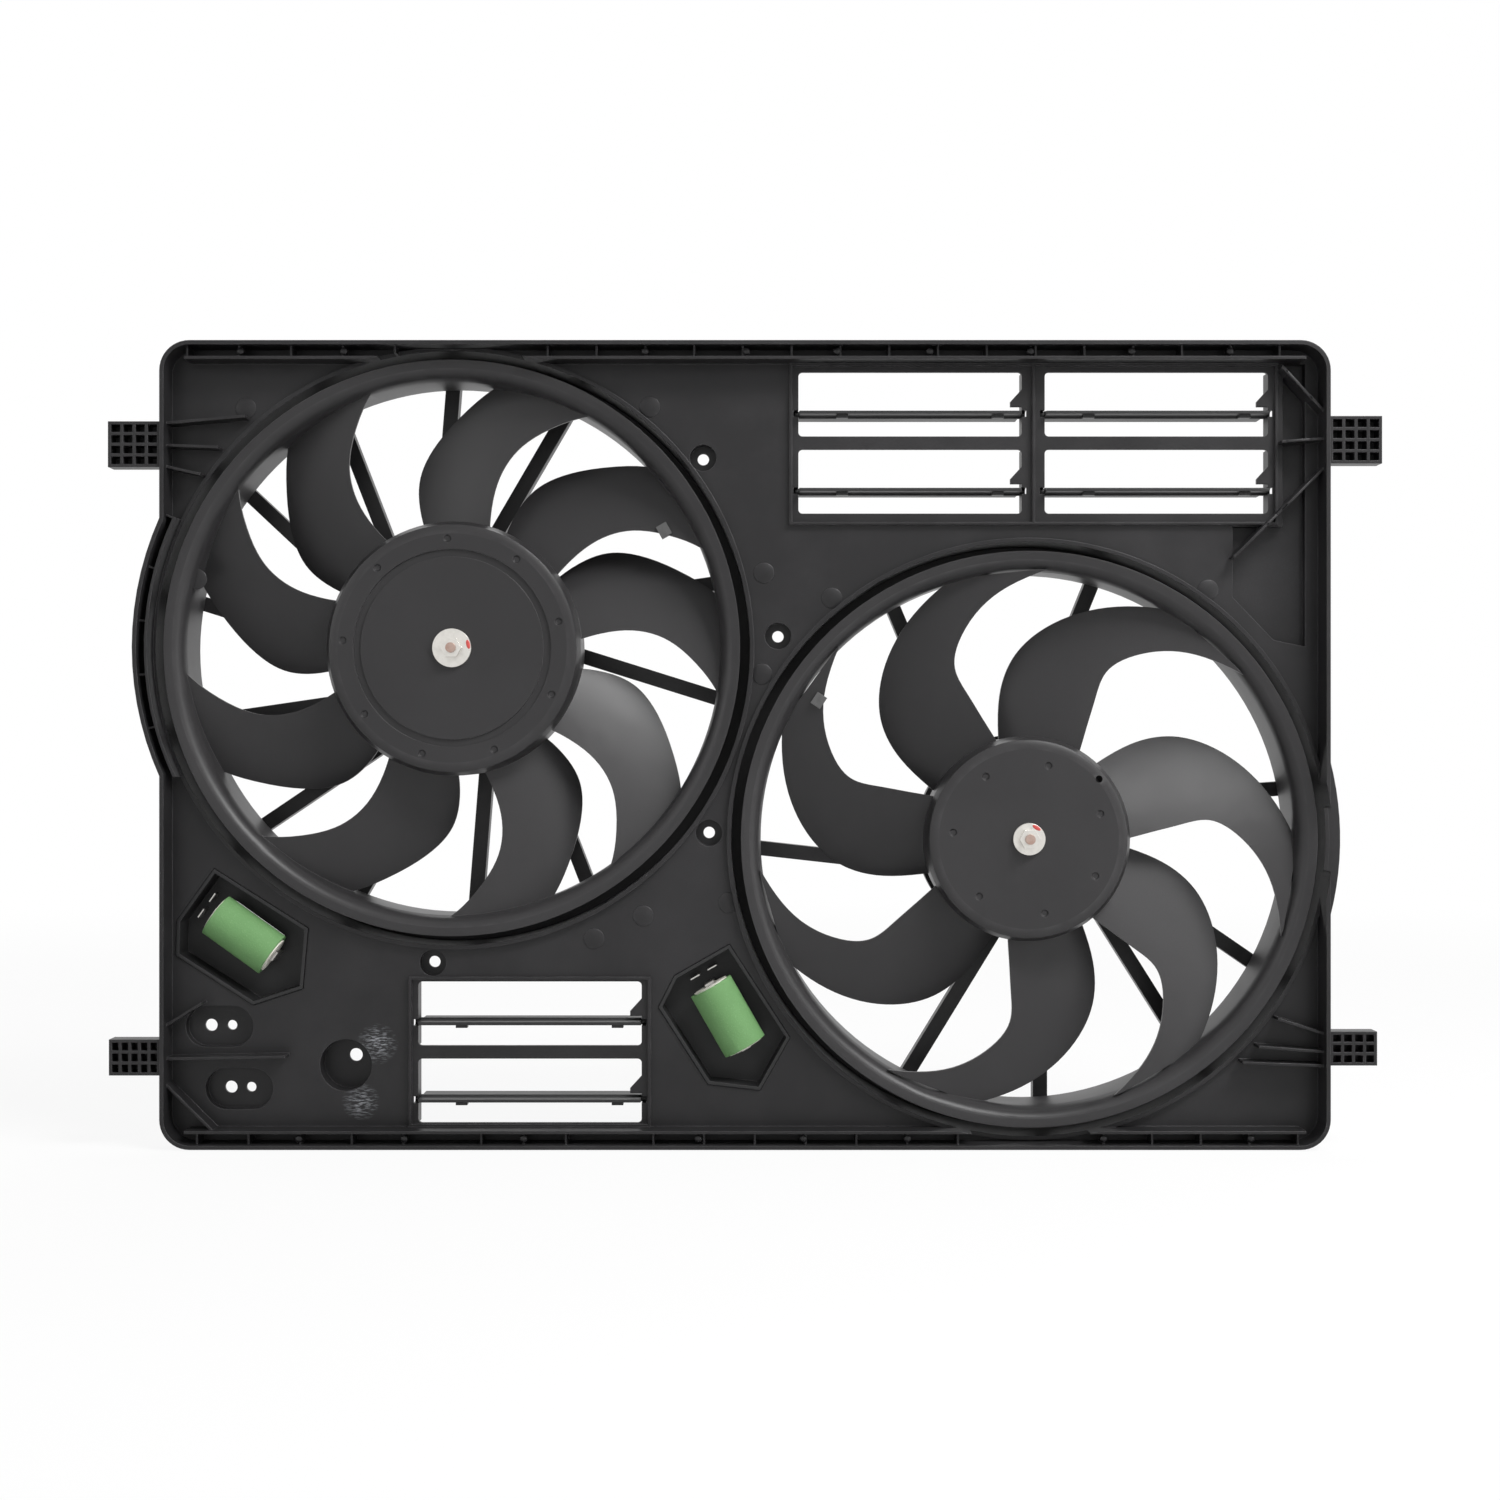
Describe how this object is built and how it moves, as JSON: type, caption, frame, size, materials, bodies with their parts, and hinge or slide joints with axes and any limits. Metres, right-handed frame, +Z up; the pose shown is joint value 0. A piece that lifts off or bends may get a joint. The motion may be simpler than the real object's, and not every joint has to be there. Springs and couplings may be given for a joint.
{
  "type": "radiator cooling fan",
  "caption": "Twin electric radiator cooling fan: a ribbed plastic shroud with ringed swept fans, ram-air flaps, motors on strut spiders and speed resistors.",
  "frame": {"origin": "in the plane of the shroud's front rim, midway between the tabs and at mid height of the body", "axes": "+X right as seen from the radiator, +Y from the radiator towards the engine, +Z up"},
  "size_m": [0.7656, 0.119, 0.486],
  "materials": {
    "shroud_plastic": "moulded, dusty",
    "fan_plastic": "moulded, satin",
    "flap_plastic": "moulded",
    "carrier_plastic": "moulded",
    "card_plastic": "moulded",
    "inlet_plastic": "moulded",
    "zinc_steel": "zinc plated",
    "shaft_steel": "ground",
    "core_steel": "stacked sheets",
    "bearing_steel": "ground",
    "clip_steel": "spring steel",
    "strap_steel": "plated",
    "cap_steel": "zinc plated",
    "tin_plate": "tinned",
    "can_paint": "black paint",
    "copper_wire": "enamelled wire",
    "commutator_copper": "turned",
    "ferrite": "sintered",
    "carbon": "pressed",
    "resistor_coat": "coated",
    "resistor_ceramic": "fired"
  },
  "bodies": {
    "shroud": {"shroud_panel": "shroud_plastic", "shroud_left_panel": "shroud_plastic", "shroud_right_panel": "shroud_plastic", "shroud_rim": "shroud_plastic", "upper_window_frame": "shroud_plastic", "lower_window_frame": "shroud_plastic", "upper_left_tab": "shroud_plastic", "upper_right_tab": "shroud_plastic", "lower_left_tab": "shroud_plastic", "lower_right_tab": "shroud_plastic", "motor_screws": "zinc_steel", "resistor_terminals": "tin_plate", "left_motor_can": "can_paint", "left_motor_end_cap": "cap_steel", "left_magnets": "ferrite", "left_front_bearing": "bearing_steel", "left_rear_bearing": "bearing_steel", "left_brush_card": "card_plastic", "left_brushes": "carbon", "left_motor_inlet": "inlet_plastic", "left_motor_spider": "shroud_plastic", "left_barrel": "shroud_plastic", "left_resistor_coil": "resistor_coat", "left_resistor_core": "resistor_ceramic", "left_resistor_strap": "strap_steel", "left_resistor_carrier": "carrier_plastic", "right_motor_can": "can_paint", "right_motor_end_cap": "cap_steel", "right_magnets": "ferrite", "right_front_bearing": "bearing_steel", "right_rear_bearing": "bearing_steel", "right_brush_card": "card_plastic", "right_brushes": "carbon", "right_motor_inlet": "inlet_plastic", "right_motor_spider": "shroud_plastic", "right_barrel": "shroud_plastic", "right_resistor_coil": "resistor_coat", "right_resistor_core": "resistor_ceramic", "right_resistor_strap": "strap_steel", "right_resistor_carrier": "carrier_plastic"},
    "fan_left": {"left_rotor": "fan_plastic", "left_hub_nut": "zinc_steel", "left_shaft": "shaft_steel", "left_armature_core": "core_steel", "left_windings": "copper_wire", "left_commutator": "commutator_copper", "left_balance_clip": "clip_steel"},
    "fan_right": {"right_rotor": "fan_plastic", "right_hub_nut": "zinc_steel", "right_shaft": "shaft_steel", "right_armature_core": "core_steel", "right_windings": "copper_wire", "right_commutator": "commutator_copper", "right_balance_clip": "clip_steel"},
    "flap_1": {"flap_1": "flap_plastic"},
    "flap_2": {"flap_2": "flap_plastic"},
    "flap_3": {"flap_3": "flap_plastic"},
    "flap_4": {"flap_4": "flap_plastic"},
    "flap_5": {"flap_5": "flap_plastic"},
    "flap_6": {"flap_6": "flap_plastic"}
  },
  "joints": [
    {"name": "fan_left_spin", "type": "hinge", "parent": "shroud", "child": "fan_left", "pos_m": [-0.1775, 0, 0.0588], "axis": [0, 1, 0], "continuous": true},
    {"name": "fan_right_spin", "type": "hinge", "parent": "shroud", "child": "fan_right", "pos_m": [0.172, 0, -0.057], "axis": [0, 1, 0], "continuous": true},
    {"name": "flap_1_hinge", "type": "hinge", "parent": "shroud", "child": "flap_1", "pos_m": [0.1005, 0.029, 0.202], "axis": [1, 0, 0], "range_deg": [0, 86]},
    {"name": "flap_2_hinge", "type": "hinge", "parent": "shroud", "child": "flap_2", "pos_m": [0.2505, 0.029, 0.202], "axis": [1, 0, 0], "range_deg": [0, 86]},
    {"name": "flap_3_hinge", "type": "hinge", "parent": "shroud", "child": "flap_3", "pos_m": [0.1005, 0.029, 0.155], "axis": [1, 0, 0], "range_deg": [0, 86]},
    {"name": "flap_4_hinge", "type": "hinge", "parent": "shroud", "child": "flap_4", "pos_m": [0.2505, 0.029, 0.155], "axis": [1, 0, 0], "range_deg": [0, 86]},
    {"name": "flap_5_hinge", "type": "hinge", "parent": "shroud", "child": "flap_5", "pos_m": [-0.131, 0.029, -0.169], "axis": [1, 0, 0], "range_deg": [0, 86]},
    {"name": "flap_6_hinge", "type": "hinge", "parent": "shroud", "child": "flap_6", "pos_m": [-0.131, 0.029, -0.216], "axis": [1, 0, 0], "range_deg": [0, 86]}
  ]
}
